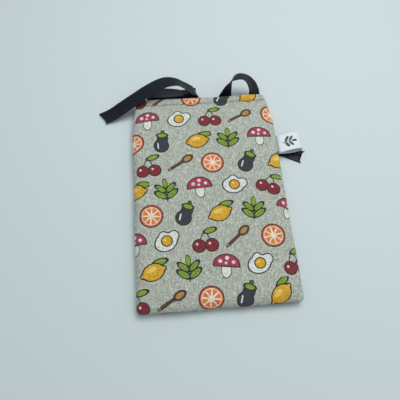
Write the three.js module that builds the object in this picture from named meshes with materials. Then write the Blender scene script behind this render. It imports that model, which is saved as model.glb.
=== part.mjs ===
// Book sleeve: a flat padded cloth pocket, open at one end, with two ribbon ties sewn into its mouth
// and a folded label tab in its side seam. It is made as a bag in a bag: printed outer cloth, batting
// and lining, each in a front and a back panel that meet at the seam round both sides and the foot.
//
// Millimetres, +Z up. The sleeve lies on its back. X runs across it, Y runs from its foot to its mouth,
// and the origin is on the surface that it lies on, under its middle.

import * as THREE from "three";

// The sleeve
const sleeveWidth = 150;
const sleeveHeight = 223;
const edgeRound = 7; // from the seam to where the padded edge is flat
const cornerRound = 0.7; // 0 leaves the foot's corners square, 1 makes them fully round
const mouthDrawIn = 5.5; // each side draws in this far at the mouth
const mouthDrawLength = 45; // and begins to this far from it

// The layers of a panel, and the room between the two panels
const outerCloth = 0.5;
const battingThickness = 1.8;
const liningCloth = 0.4;
const layerClearance = 0.3;
const seamClearance = 0.3;
const pocketGap = 6;

// The mouth: both cloths turn in over the end of the batting and meet in the mouth seam
const mouthTurn = 2; // how far from the edge the cloth begins to turn
const stitchInset = 8; // the topstitch line, from the mouth edge
const stitchDip = 0.6; // how deep the stitches pull the outer cloth in
const stitchDipReach = 1.8;
const stitchLength = 3.2;
const threadRadius = 0.25;
const threadWave = 0.1;

// The back rides up over the tail of the back tie, which lies under its right half
const tailClearance = 0.35; // between the surface and the tail
const tailRoom = 0.65; // between the tail and the back
const tailLiftInset = 60; // the lift begins this far in from the right side
const tailLiftBelow = 38; // and this far below the label's middle
const tailLiftReach = 32; // both take this far to reach the full lift

// The label: a tape folded into a loop and caught in the right side seam
const labelAlong = 50; // its middle, from the sleeve's middle towards the mouth
const labelWidth = 21;
const labelLength = 26;
const labelTape = 0.35;
const labelRootGap = 0.3; // between the tape's two ends
const labelPuff = 3.4; // how far each half of the loop stands off its middle where it is fullest
const labelSkew = 3.8; // the tape is caught askew: its fold lies this far nearer the mouth than its ends

// The ribbon of the ties
const ribbonWidth = 15;
const ribbonThickness = 0.5;
const biasCut = 6; // how far one corner of the front tie's cut end is ahead of the other
const tailNotch = 7.8; // the depth of the notch in the back tie's cut end
const frontTieRoot = -14; // the ties' places along the mouth
const backTieRoot = 29.5;

// How finely the round edges and the flat faces are divided
const roundSteps = 4;
const flatStep = 24;
const turnSteps = 3;
const ribbonStepsPerPoint = 3;
const labelSteps = 9;
const threadSides = 5;
const threadStepsPerStitch = 3;

const panelDepth = outerCloth + battingThickness + liningCloth + 2 * layerClearance;
const thickness = 2 * panelDepth + pocketGap;
const seamHeight = thickness / 2;
const mouth = sleeveHeight / 2;
const right = sleeveWidth / 2;
const left = -right;
const flatAcross = sleeveWidth / 2 - edgeRound;
const flatAlong = sleeveHeight / 2 - edgeRound;
const stitchLine = mouth - stitchInset;
const turnDepth = (panelDepth - layerClearance) / 2; // half a panel, less half the gap at the mouth seam
const tailHeight = tailClearance + ribbonThickness / 2;
const tailLift = tailHeight + ribbonThickness / 2 + tailRoom;
const smoothstep = THREE.MathUtils.smoothstep;
const clamp = THREE.MathUtils.clamp;

const cloth = (color, roughness) => new THREE.MeshStandardMaterial({ color, roughness, metalness: 0 });
const printedCotton = cloth(0xc4c2b8, 0.9);
const cottonBatting = cloth(0xf2efe6, 1);
const darkLining = cloth(0x2b2f36, 0.9);
const blackRibbon = cloth(0x141b23, 0.6);
const whiteTape = cloth(0xe6edf1, 0.55);
const paleThread = cloth(0xb9b8ae, 0.7);

// How far the back, and all that lies on it, is lifted off the surface
function liftAt(x, y) {
  const fromX = right - tailLiftInset;
  const fromY = labelAlong - tailLiftBelow;
  const across = smoothstep(x, fromX, fromX + tailLiftReach);
  return tailLift * across * smoothstep(y, fromY, fromY + tailLiftReach);
}

// How far the topstitch line pulls the outer face in at this distance along the sleeve
function pressAt(along) {
  return stitchDip * Math.exp(-(((along - stitchLine) / stitchDipReach) ** 2));
}

// A point of the flat pattern, at a depth under the outer face, wrapped round the sleeve's padded edges.
// isFront chooses the panel: the back is the front's mirror image in the seam's plane.
function wrap(across, along, depth, isFront) {
  const overSide = clamp((Math.abs(across) - flatAcross) / edgeRound, 0, 1);
  const overFoot = clamp((-along - flatAlong) / edgeRound, 0, 1);
  const press = pressAt(along);
  const sunk = press + depth * (1 - press / panelDepth);
  const sideways = (edgeRound - sunk) * overSide * Math.sqrt(1 - (cornerRound * overFoot ** 2) / 2);
  const footwards = (edgeRound - sunk) * overFoot * Math.sqrt(1 - (cornerRound * overSide ** 2) / 2);
  const y = Math.max(along, -flatAlong) - footwards;
  const drawIn = mouthDrawIn * clamp((y - mouth + mouthDrawLength) / mouthDrawLength, 0, 1) ** 2;
  const drawn = 1 - (2 * drawIn) / sleeveWidth;
  const x = Math.sign(across) * drawn * (Math.min(Math.abs(across), flatAcross) + sideways);
  const crown = Math.sqrt(1 - overSide ** 2) * Math.sqrt(1 - overFoot ** 2);
  const rise = seamClearance / 2 + (seamHeight - seamClearance / 2 - sunk) * crown;
  return new THREE.Vector3(x, y, seamHeight + (isFront ? rise : -rise) + liftAt(x, y));
}

// Evenly spaced values from first to last, no further apart than step
function spaced(first, last, step) {
  const count = Math.max(1, Math.ceil((last - first) / step));
  return Array.from({ length: count + 1 }, (_, i) => first + ((last - first) * i) / count);
}

// The quarter turn of a padded edge, as distances beyond where it is flat
const roundStations = Array.from(
  { length: roundSteps },
  (_, i) => edgeRound * Math.sin((Math.PI / 2) * ((i + 1) / roundSteps)),
);

const acrossStations = [
  ...roundStations.map((d) => -flatAcross - d).reverse(),
  ...spaced(-flatAcross, flatAcross, flatStep),
  ...roundStations.map((d) => flatAcross + d),
];

const alongStations = [
  ...roundStations.map((d) => -flatAlong - d).reverse(),
  ...spaced(-flatAlong, stitchLine - 2 * stitchDipReach, flatStep),
  ...[-1, 0, 1].map((k) => stitchLine + k * stitchDipReach),
  mouth - mouthTurn,
];

// A closed solid between two grids of points of the same size
function thickSheet(outer, inner) {
  const rows = outer.length;
  const columns = outer[0].length;
  const points = [...outer.flat(), ...inner.flat()];
  const onOuter = (i, j) => i * columns + j;
  const onInner = (i, j) => rows * columns + i * columns + j;
  const index = [];
  const quad = (a, b, c, d) => index.push(a, b, c, a, c, d);
  for (let i = 0; i + 1 < rows; i++) {
    for (let j = 0; j + 1 < columns; j++) {
      quad(onOuter(i, j), onOuter(i, j + 1), onOuter(i + 1, j + 1), onOuter(i + 1, j));
      quad(onInner(i, j), onInner(i + 1, j), onInner(i + 1, j + 1), onInner(i, j + 1));
    }
  }
  const rim = [];
  for (let j = 0; j < columns; j++) rim.push([0, j]);
  for (let i = 1; i < rows; i++) rim.push([i, columns - 1]);
  for (let j = columns - 2; j >= 0; j--) rim.push([rows - 1, j]);
  for (let i = rows - 2; i > 0; i--) rim.push([i, 0]);
  rim.forEach((here, k) => {
    const next = rim[(k + 1) % rim.length];
    quad(onOuter(...next), onOuter(...here), onInner(...here), onInner(...next));
  });
  return faceOut(points, index);
}

// A geometry from points and triangles, turned so that its faces point out
function faceOut(points, index) {
  let volume = 0;
  for (let k = 0; k < index.length; k += 3) {
    const [a, b, c] = [points[index[k]], points[index[k + 1]], points[index[k + 2]]];
    volume += a.dot(new THREE.Vector3().crossVectors(b, c));
  }
  const geometry = new THREE.BufferGeometry().setFromPoints(points);
  geometry.setIndex(volume > 0 ? index : index.reverse());
  geometry.computeVertexNormals();
  return geometry;
}

// One layer of a panel from its section: pairs of [along, depth] on its outer and its inner side
function layerGeometry(section, isFront) {
  const side = (k) =>
    section.map((pair) => acrossStations.map((across) => wrap(across, ...pair[k], isFront)));
  return thickSheet(side(0), side(1));
}

// A cloth that runs along one face of the panel and turns in at the mouth. fromOutside is true for the
// outer cloth and false for the lining, which is the same section seen from the pocket.
function clothSection(clothThickness, fromOutside) {
  const depth = (d) => (fromOutside ? d : panelDepth - d);
  const straight = alongStations.map((along) => [
    [along, depth(0)],
    [along, depth(clothThickness)],
  ]);
  const turned = spaced(0, 1, 1 / turnSteps)
    .slice(1)
    .map((share) => {
      const angle = (share * Math.PI) / 2;
      const at = (inset) => [
        mouth - mouthTurn + (mouthTurn - inset) * Math.sin(angle),
        depth(turnDepth - (turnDepth - inset) * Math.cos(angle)),
      ];
      return [at(0), at(clothThickness)];
    });
  return [...straight, ...turned];
}

// The batting fills the panel between the cloths and ends where they begin to turn
function battingSection() {
  const top = outerCloth + layerClearance;
  return alongStations.map((along) => [
    [along, top],
    [along, top + battingThickness],
  ]);
}

// The topstitch: one thread that rises over each stitch and dips at each needle hole
class StitchLine extends THREE.Curve {
  constructor(isFront) {
    super();
    this.isFront = isFront;
    this.count = Math.round((2 * flatAcross) / stitchLength);
  }
  getPoint(t) {
    const across = (2 * t - 1) * flatAcross;
    const wave = threadWave * (1 - Math.cos(2 * Math.PI * this.count * t));
    return wrap(across, stitchLine, -threadRadius - layerClearance - wave, this.isFront);
  }
}

function topstitchGeometry(isFront) {
  const line = new StitchLine(isFront);
  const section = new THREE.Shape().absarc(0, 0, threadRadius, 0, 2 * Math.PI);
  return new THREE.ExtrudeGeometry(section, {
    extrudePath: line,
    steps: line.count * threadStepsPerStitch,
    curveSegments: threadSides,
    bevelEnabled: false,
  });
}

// The label's tape, from one end in the seam round the fold to the other, seen along the seam. Each half
// bellies out as share * sqrt(1 - share), which is fullest at two thirds of the way to the fold.
function labelGeometry() {
  const fullest = (2 / 3) * Math.sqrt(1 / 3);
  const half = (share) => {
    const stand = labelRootGap / 2 + labelTape / 2 + (labelPuff / fullest) * share;
    return stand * Math.sqrt(1 - share);
  };
  const shares = spaced(0, 1, 1 / labelSteps).map((k) => 1 - (1 - k) ** 2);
  const lower = shares.map((s) => new THREE.Vector2(s * labelLength, -half(s)));
  const upper = lower.slice(0, -1).map((p) => new THREE.Vector2(p.x, -p.y)).reverse();
  const path = [...lower, ...upper];
  const offset = (i, distance) => {
    const before = path[Math.max(i - 1, 0)];
    const after = path[Math.min(i + 1, path.length - 1)];
    const along = after.clone().sub(before).normalize();
    return new THREE.Vector2(path[i].x + along.y * distance, path[i].y - along.x * distance);
  };
  const side = (distance) =>
    path.map((_, i) => {
      const p = offset(i, distance);
      const aside = (labelSkew * p.x) / labelLength;
      return [-1, 1].map((end) => new THREE.Vector3(p.x, (end * labelWidth) / 2 + aside, p.y));
    });
  return thickSheet(side(labelTape / 2), side(-labelTape / 2));
}

// A ribbon along hand-laid points, each with the direction across the ribbon there. ahead tells how far
// the left edge, the middle and the right edge of the cut end run past the route's last point.
function ribbonGeometry(route, ahead) {
  const curve = (k) =>
    new THREE.CatmullRomCurve3(route.map((p) => new THREE.Vector3(...p[k])), false, "catmullrom", 0.5);
  const middle = curve(0);
  const acrossIt = curve(1);
  const steps = (route.length - 1) * ribbonStepsPerPoint;
  const columns = [-1, 0, 1];
  const side = (offset) =>
    spaced(0, 1, 1 / steps).map((t, row) => {
      const along = middle.getTangent(t);
      const right = acrossIt.getPoint(t);
      right.addScaledVector(along, -right.dot(along)).normalize();
      const face = new THREE.Vector3().crossVectors(right, along);
      return columns.map((column, j) =>
        middle
          .getPoint(t)
          .addScaledVector(right, (column * ribbonWidth) / 2)
          .addScaledVector(face, offset)
          .addScaledVector(along, row === steps ? ahead[j] : 0),
      );
    });
  return thickSheet(side(ribbonThickness / 2), side(-ribbonThickness / 2));
}

// Where a strand of ribbon that lies flat beside the mouth has its middle
const beside = mouth + ribbonWidth / 2 + 0.9;

// The front tie leaves the front lip, runs left beside the mouth, folds back on itself, rises at the right
// in a twist and falls over the sleeve's corner to the left
const frontTieStart = wrap(frontTieRoot, mouth, panelDepth / 2, true);
const frontLip = frontTieStart.z;
const frontTieRoute = [
  [[frontTieStart.x, mouth + layerClearance, frontLip], [1, 0, 0]],
  [[frontTieStart.x, beside - 5.3, frontLip], [1, 0, 0]],
  [[frontTieStart.x - 1.8, beside - 1.9, frontLip - 0.5], [0.85, 0.5, -0.15]],
  [[frontTieStart.x - 6.5, beside - 0.3, frontLip - 1.2], [0.25, 0.9, -0.4]],
  [[frontTieStart.x - 15, beside - 0.6, frontLip - 1.7], [0, 0.87, -0.5]],
  [[left + 35, beside - 0.8, frontLip - 2.1], [0, 0.9, -0.45]],
  [[left + 23, beside + 1.3, frontLip - 2.5], [-0.1, 0.95, -0.3]],
  [[left + 18.5, beside + 3.1, 6.1], [-0.1, 1, -0.2]],
  [[left + 23, beside + 4.5, 3.8], [0, 1, -0.1]],
  [[left + 35, beside + 5.3, 3.2], [0.05, 1, -0.05]],
  [[-28, beside + 4.1, 3], [0.2, 1, -0.05]],
  [[-14.6, beside + 0.1, 3.2], [0.15, 1, -0.05]],
  [[-7.6, beside, 4.6], [-0.15, 0.95, -0.2]],
  [[-4.2, beside - 0.5, 8.4], [-0.3, 0.84, -0.4]],
  [[-6, beside - 0.6, thickness], [0.05, 0.84, -0.44]],
  [[-10.6, beside - 1.2, thickness + 4.2], [0.26, 0.85, -0.34]],
  [[-17.6, beside + 1.1, thickness + 8.8], [0.22, 0.8, -0.58]],
  [[-27, beside + 3.3, thickness + 12.2], [0.1, 0.9, -0.36]],
  [[left + 35, beside + 1.5, thickness + 13.2], [0, 0.98, -0.05]],
  [[left + 19, beside - 4.7, thickness + 9.6], [-0.28, 0.93, 0]],
  [[left + 4, beside - 10.9, thickness + 3.6], [-0.36, 0.9, 0.03]],
  [[left - 10, beside - 15.9, 9.6], [-0.36, 0.9, 0.05]],
  [[left - 21, beside - 19.7, 4.3], [-0.34, 0.92, 0.03]],
  [[left - 31.2, beside - 22.7, 1.9], [-0.3, 0.95, -0.06]],
];

// The back tie leaves the back lip, stands up in a loop with half a twist, goes down behind the lip and
// under the sleeve, and comes out under the label
const backTieStart = wrap(backTieRoot, mouth, panelDepth / 2, false);
const backTieRoute = [
  [[backTieStart.x, mouth + layerClearance, backTieStart.z], [1, 0, 0]],
  [[backTieStart.x, mouth + 3.3, backTieStart.z + 2], [1, 0, 0]],
  [[backTieStart.x + 1.3, mouth + 6.5, 10], [0.78, 0.34, -0.5]],
  [[right - 43.8, mouth + 10.1, thickness + 4.8], [0.55, 0.52, -0.64]],
  [[right - 39, mouth + 13.5, thickness + 11.4], [0.18, 0.84, -0.46]],
  [[right - 31.5, mouth + 13.9, thickness + 14.4], [0.11, 0.88, -0.42]],
  [[right - 24.7, mouth + 11.9, thickness + 12.6], [0.3, 0.84, -0.4]],
  [[right - 18.8, beside + 0.1, thickness + 6], [0.6, 0.76, -0.22]],
  [[right - 16, beside - 2.5, 11.4], [0.78, 0.58, -0.2]],
  [[right - 15.2, mouth + 3.9, 5.2], [0.95, 0.25, -0.05]],
  [[right - 15, mouth + 0.9, tailHeight + 0.7], [1, 0, 0]],
  [[right - 15.4, mouth - 6.5, tailHeight], [1, 0, 0]],
  [[right - 16, mouth - 21.5, tailHeight], [1, 0, 0]],
  [[right - 15, labelAlong + 26, tailHeight], [1, 0.1, 0]],
  [[right - 10.6, labelAlong + 13, tailHeight], [0.8, 0.5, 0]],
  [[right - 2, labelAlong + 2.8, tailHeight], [0.6, 0.8, 0]],
  [[right + 12, labelAlong - 5, tailHeight], [0.45, 0.9, 0]],
  [[right + 27.9, labelAlong - 12.8, tailHeight], [0.45, 0.9, 0]],
];

function mesh(name, geometry, material) {
  const made = new THREE.Mesh(geometry, material);
  made.name = name;
  return made;
}

// The four layers of a panel, and the tie that is sewn into its mouth
function panel(end, isFront, tie) {
  const group = new THREE.Group();
  group.add(mesh(`outer_${end}`, layerGeometry(clothSection(outerCloth, true), isFront), printedCotton));
  group.add(mesh(`batting_${end}`, layerGeometry(battingSection(), isFront), cottonBatting));
  group.add(mesh(`lining_${end}`, layerGeometry(clothSection(liningCloth, false), isFront), darkLining));
  group.add(mesh(`topstitch_${end}`, topstitchGeometry(isFront), paleThread));
  group.add(mesh(`tie_${end}`, tie, blackRibbon));
  return group;
}

// The label stands out of the right seam, and slopes as the seam does there
function label() {
  const seamAt = (y) => seamHeight + liftAt(right, y);
  const tab = mesh("label_tab", labelGeometry(), whiteTape);
  const rise = seamAt(labelAlong + labelWidth / 2) - seamAt(labelAlong - labelWidth / 2);
  tab.position.set(right + layerClearance, labelAlong, seamAt(labelAlong));
  tab.rotation.x = Math.atan2(rise, labelWidth);
  return tab;
}

const sleeve = new THREE.Group();
sleeve.add(panel("back", false, ribbonGeometry(backTieRoute, [0, -tailNotch, 0])));
sleeve.add(panel("front", true, ribbonGeometry(frontTieRoute, [-biasCut / 2, 0, biasCut / 2])));
sleeve.add(label());

export default sleeve;
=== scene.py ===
"""The padded cloth book sleeve, dressed for its picture: printed linen-look cotton over wadding, a dark
lining, two satin ribbon ties, a folded label and the topstitched mouth. Metres, in the part's own frame:
X across, Y from the foot to the mouth, Z up off the table."""

import math

import bmesh
import bpy
from mathutils import Matrix, Vector, noise


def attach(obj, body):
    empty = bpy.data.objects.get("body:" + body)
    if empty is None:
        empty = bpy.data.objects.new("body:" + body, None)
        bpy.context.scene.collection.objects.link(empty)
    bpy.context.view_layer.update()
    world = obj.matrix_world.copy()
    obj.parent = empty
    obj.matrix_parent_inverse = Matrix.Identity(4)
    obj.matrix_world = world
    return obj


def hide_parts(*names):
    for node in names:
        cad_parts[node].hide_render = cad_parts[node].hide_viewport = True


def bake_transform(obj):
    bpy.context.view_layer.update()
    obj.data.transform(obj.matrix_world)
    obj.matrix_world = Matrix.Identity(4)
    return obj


# The sleeve's sizes, as in the part
WIDTH = 0.150
HEIGHT = 0.223
EDGE_ROUND = 0.007
CORNER_ROUND = 0.7
DRAW_IN = 0.0055
DRAW_LENGTH = 0.045
THICKNESS = 0.0126
PANEL = 0.0033
MOUTH = HEIGHT / 2
SEAM_Z = THICKNESS / 2
FLAT_X = WIDTH / 2 - EDGE_ROUND
FLAT_Y = HEIGHT / 2 - EDGE_ROUND
HEM = 0.008
STITCH_Y = MOUTH - HEM
TURN = 0.002
LIFT = 0.0015
LIFT_FROM = (0.015, 0.012)
LIFT_REACH = 0.032
ARC = math.pi / 4 * (EDGE_ROUND + SEAM_Z)

# How the cloth is shaped beyond the plain solid. Waves: to the metre across, along, and which wave
STITCH_DIP = 0.0014
STITCH_DIP_REACH = 0.0007
SEAM_DIP = 0.0009
SEAM_DIP_ANGLE = math.radians(13)
HILL = 0.0007
HILL_FADE = 0.02
HILL_WAVES = (17, 17, 4.2)
PUCKER = 0.00042
STITCH_PUCKER_REACH = 0.0065
STITCH_PUCKER_WAVES = (150, 35, 3.0)
SEAM_PUCKER_REACH = 0.012
SEAM_PUCKER_SHARE = 1.3
SIDE_PUCKER_WAVES = (40, 120, 8.0)
FOOT_PUCKER_WAVES = (120, 40, 12.0)
EDGE_WAVE = 0.0007
EDGE_WAVES = (1, 26, 0.5)
LEFT_WAVE = 1.7  # each side has a wave of its own
RIGHT_WAVE = 8.3
EDGE_TRUE = 0.03  # the edge is true at the label, and waves fully this far from it

# How finely the cloth is divided
OUTER_STEP = 0.0030
LINING_STEP = 0.0042
WADDING_STEP = 0.004
HEM_STEP = 0.0013
ROUND_STEPS = 8
ROUND_STATIONS = [ARC * (i + 1) / ROUND_STEPS for i in range(ROUND_STEPS)]
LIP_STEPS = 5
STITCH_STATIONS = (-1.6, -0.9, -0.4, 0, 0.4, 0.9, 1.6)  # times the reach of the stitches' dip
STITCH_ROOM = 2.5

# Points nearer than this become one: those of a seam, and on the outer cloth the last few at a corner too
SEAM_WELD = 0.00002
CORNER_WELD = 0.00015

# Pattern places further apart than this, on one edge, are on different panels
SEAM_GAP = 0.001

# The cloths' thickness, the mouth seam's distance under the edge, and the wadding between the cloths
OUTER_CLOTH = 0.0005
LINING_CLOTH = 0.0004
MOUTH_SEAM = 0.0004
WADDING_DEPTHS = (0.0014, 0.0026)
WADDING_SHARE = 0.995  # of the panel's width

# How the outer cloth swells over its wadding
PRESSURE = 1.5
SLACK = -0.012
SWELL_FRAMES = 20
SWELL_LIMIT = 0.0018
SINK_LIMIT = 0.0002
TABLE_CLEAR = 0.00005  # the swelling cloth comes no nearer to the table than this

# What holds the cloth still: on its turn into the seam, from where and over how much of a quarter turn
SEAM_HOLD = (0.72, 0.28)
TABLE_HOLD = (0.1, 0.3)
STITCH_HOLD = 1.5  # times the reach of the stitches' dip
TURNED_IN_HOLD = 4  # how fast the hold grows as the cloth turns in at the mouth

# The label
LABEL_CLEAR = 0.0003
LABEL_Y = 0.050
LABEL_AT = (WIDTH / 2 + LABEL_CLEAR, LABEL_Y, SEAM_Z + LIFT)
LABEL_WIDTH = 0.021
LABEL_LENGTH = 0.026
LABEL_PUFF = 0.0034
LABEL_SKEW = 0.0038
LABEL_TAPE = 0.0003
LABEL_ROOT = 0.0003  # half the distance between the tape's two ends
LABEL_STEPS = 16
LABEL_STEP = 0.0021
TWIG_SIZE = 0.82
TWIG_ALONG = 0.75  # of the tape's length

# The cloth's threads, from one to the next, then unevenness: how often to the metre, and how strong
WEAVE_PITCH = 0.0007
SLUBS_ACROSS = (160, 1300, 1)
SLUBS_ALONG = (900, 150, 1)
SLUB_DEPTH = 0.85
FLECKS = 560.0
FLECK_DEPTH = 0.5
CLOUDS = 35.0
CLOUD_DEPTH = 0.1
TONES = 330.0
TONE_CONTRAST = 3.0
# The satin's paler bands, painted sheen: how often to the metre, across and along
SATIN_SHEEN_STREAKS = (900, 30, 1)
FIBRES = (700, 700, 1)
THREAD_TWIST = (3500, 3500, 3500)

# The stitches
STITCH_PITCH = 0.0032
STITCH_SIZE = (0.0026, 0.0006, 0.0005)
STITCH_RISE = 0.0001
STITCH_PAST = 0.002  # the line runs on this far round the side
STITCH_REACH = FLAT_X + STITCH_PAST
STITCH_LINE_STEP = 0.002

# The ribbon
RIBBON_WIDTH = 0.015
RIBBON_THICK = 0.0004
RIBBON_CUP = 0.0003
RIBBON_CUP_LEVEL = 0.4  # the share of the cup that lies under the route
RIBBON_STEPS = 10
ROUTE_STEPS = 8
EVEN_REACH = 6
SELVEDGE = 1.35  # the thickness of the ribbon's edges, times that of the rest
SELVEDGE_FROM = 0.9
BIAS_CUT = 0.006
TAIL_NOTCH = 0.0078

# The camera: where it stands, its own axes, and its lens and film in millimetres
CAMERA_AT = (-0.03612, -0.15064, 0.36087)
CAMERA_RIGHT = (0.99575, -0.08403, 0.03761)
CAMERA_UP = (0.06350, 0.92265, 0.38038)
CAMERA_BACK = (-0.06666, -0.37637, 0.92407)
LENS = 35.1
FILM = 36

# The ties' routes: each point of the ribbon's middle, then the direction across the ribbon there
FRONT_TIE = [
    ((-0.01297, 0.1118, 0.01095), (1, 0, 0)),
    ((-0.01297, 0.1146, 0.01095), (1, 0, 0)),
    ((-0.01477, 0.1180, 0.01045), (0.85, 0.5, -0.15)),
    ((-0.01947, 0.1196, 0.00975), (0.25, 0.9, -0.4)),
    ((-0.02797, 0.1193, 0.00925), (0, 0.87, -0.5)),
    ((-0.0400, 0.1191, 0.00885), (0, 0.9, -0.45)),
    ((-0.0520, 0.1212, 0.00845), (-0.1, 0.95, -0.3)),
    ((-0.0565, 0.1230, 0.0061), (-0.1, 1, -0.2)),
    ((-0.0520, 0.1244, 0.0038), (0, 1, -0.1)),
    ((-0.0400, 0.1252, 0.0032), (0.05, 1, -0.05)),
    ((-0.0280, 0.1240, 0.0030), (0.2, 1, -0.05)),
    ((-0.0146, 0.1200, 0.0032), (0.15, 1, -0.05)),
    ((-0.0076, 0.1199, 0.0046), (-0.15, 0.95, -0.2)),
    ((-0.0042, 0.1194, 0.0084), (-0.3, 0.84, -0.4)),
    ((-0.0060, 0.1193, 0.0126), (0.05, 0.84, -0.44)),
    ((-0.0106, 0.1187, 0.0168), (0.26, 0.85, -0.34)),
    ((-0.0176, 0.1210, 0.0214), (0.22, 0.8, -0.58)),
    ((-0.0270, 0.1232, 0.0248), (0.1, 0.9, -0.36)),
    ((-0.0400, 0.1214, 0.0258), (0, 0.98, -0.05)),
    ((-0.0560, 0.1152, 0.0222), (-0.28, 0.93, 0)),
    ((-0.0710, 0.1090, 0.0162), (-0.36, 0.9, 0.03)),
    ((-0.0850, 0.1040, 0.0096), (-0.36, 0.9, 0.05)),
    ((-0.0960, 0.1002, 0.0043), (-0.34, 0.92, 0.03)),
    ((-0.1062, 0.0972, 0.0019), (-0.3, 0.95, -0.06)),
]
BACK_TIE = [
    ((0.02734, 0.1118, 0.00215), (1, 0, 0)),
    ((0.02734, 0.1148, 0.00415), (1, 0, 0)),
    ((0.02864, 0.1180, 0.0100), (0.78, 0.34, -0.5)),
    ((0.0312, 0.1216, 0.0174), (0.55, 0.52, -0.64)),
    ((0.0360, 0.1250, 0.0240), (0.18, 0.84, -0.46)),
    ((0.0435, 0.1254, 0.0270), (0.11, 0.88, -0.42)),
    ((0.0503, 0.1234, 0.0252), (0.3, 0.84, -0.4)),
    ((0.0562, 0.1200, 0.0186), (0.6, 0.76, -0.22)),
    ((0.0590, 0.1174, 0.0114), (0.78, 0.58, -0.2)),
    ((0.0598, 0.1154, 0.0052), (0.95, 0.25, -0.05)),
    ((0.0600, 0.1124, 0.0013), (1, 0, 0)),
    ((0.0596, 0.1050, 0.0006), (1, 0, 0)),
    ((0.0590, 0.0900, 0.0006), (1, 0, 0)),
    ((0.0600, 0.0760, 0.0006), (1, 0.1, 0)),
    ((0.0644, 0.0630, 0.0006), (0.8, 0.5, 0)),
    ((0.0730, 0.0528, 0.0006), (0.6, 0.8, 0)),
    ((0.0870, 0.0450, 0.0006), (0.45, 0.9, 0)),
    ((0.1029, 0.0372, 0.0006), (0.45, 0.9, 0)),
]


def colour(red, green, blue):
    """A colour given in the values of a picture, 0 to 255, as the linear colour that a shader takes."""
    linear = [v / 12.92 if v <= 0.04045 else ((v + 0.055) / 1.055) ** 2.4
              for v in (red / 255, green / 255, blue / 255)]
    return (*linear, 1.0)


LINEN = colour(160, 165, 153)
WARM_LINEN = colour(163, 165, 150)
COOL_LINEN = colour(157, 165, 156)
TICK = colour(193, 198, 186)
OUTLINE = colour(28, 29, 34)
ORANGE = colour(196, 84, 38)
PALE_ORANGE = colour(214, 118, 60)
CREAM = colour(226, 216, 192)
PINK_RED = colour(160, 50, 76)
DARK_RED = colour(122, 28, 38)
YELLOW = colour(206, 158, 34)
PALE_YELLOW = colour(226, 194, 92)
GREEN = colour(122, 154, 44)
DEEP_GREEN = colour(78, 108, 40)
CHARCOAL = colour(48, 49, 58)
WHITE = colour(210, 215, 209)
BROWN = colour(84, 54, 48)
GOLD = colour(168, 130, 60)
FLOOR = colour(201, 213, 214)
SKY = colour(235, 242, 248)

# The dark line round a motif, and how far two shapes melt into one, in millimetres
LINE = 0.85
THIN_LINE = 0.4
MELT = 2.0


# Shader arithmetic

class Nodes:
    """Adds nodes to a tree and feeds them. Most methods make one node and return what it puts out."""

    def __init__(self, tree):
        self.tree = tree

    def feed(self, socket, value):
        if isinstance(value, bpy.types.NodeSocket):
            self.tree.links.new(value, socket)
        else:
            socket.default_value = value

    def add(self, kind, **settings):
        node = self.tree.nodes.new(kind)
        for name, value in settings.items():
            setattr(node, name, value)
        return node

    def math(self, operation, *values, clamp=False):
        node = self.add("ShaderNodeMath", operation=operation, use_clamp=clamp)
        for socket, value in zip(node.inputs, values):
            self.feed(socket, value)
        return node.outputs[0]

    def vector(self, operation, a, b=None, scale=None):
        node = self.add("ShaderNodeVectorMath", operation=operation)
        self.feed(node.inputs[0], a)
        if b is not None:
            self.feed(node.inputs[1], b)
        if scale is not None:
            self.feed(node.inputs["Scale"], scale)
        lone = operation in ("LENGTH", "DISTANCE", "DOT_PRODUCT")
        return node.outputs["Value" if lone else "Vector"]

    def join(self, x, y, z=0.0):
        node = self.add("ShaderNodeCombineXYZ")
        for socket, value in zip(node.inputs, (x, y, z)):
            self.feed(socket, value)
        return node.outputs[0]

    def split(self, vector):
        node = self.add("ShaderNodeSeparateXYZ")
        self.feed(node.inputs[0], vector)
        return node.outputs

    def turn(self, vector, angle):
        node = self.add("ShaderNodeVectorRotate", rotation_type="Z_AXIS")
        self.feed(node.inputs["Vector"], vector)
        self.feed(node.inputs["Angle"], angle)
        return node.outputs[0]

    def mix(self, factor, a, b):
        node = self.add("ShaderNodeMix", data_type="RGBA")
        self.feed(node.inputs["Factor"], factor)
        for socket, value in zip([s for s in node.inputs if s.type == "RGBA"], (a, b)):
            self.feed(socket, value)
        return next(s for s in node.outputs if s.type == "RGBA")

    def noise(self, vector, scale, detail=2.0):
        node = self.add("ShaderNodeTexNoise")
        self.feed(node.inputs["Vector"], vector)
        node.inputs["Scale"].default_value = scale
        node.inputs["Detail"].default_value = detail
        return node.outputs[0]

    def use(self, tree, **values):
        node = self.add("ShaderNodeGroup", node_tree=tree)
        for name, value in values.items():
            self.feed(node.inputs[name], value)
        return node.outputs

    def soft(self, distance, reach=0.12):
        """1 inside a shape and 0 outside it, from its signed distance in millimetres."""
        return self.math("MULTIPLY_ADD", distance, -0.5 / reach, 0.5, clamp=True)


def group(name, inputs, outputs, build):
    """A shader group with these named sockets. build takes its Nodes and inputs and returns its outputs."""
    tree = bpy.data.node_groups.new(name, "ShaderNodeTree")
    for socket, kind in inputs.items():
        tree.interface.new_socket(socket, in_out="INPUT", socket_type=kind)
    for socket, kind in outputs.items():
        tree.interface.new_socket(socket, in_out="OUTPUT", socket_type=kind)
    nodes = Nodes(tree)
    given = nodes.add("NodeGroupInput").outputs
    taken = nodes.add("NodeGroupOutput").inputs
    for socket, value in build(nodes, given).items():
        nodes.feed(taken[socket], value)
    return tree


# The print: motifs painted shape by shape, in millimetres from the middle of each

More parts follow.
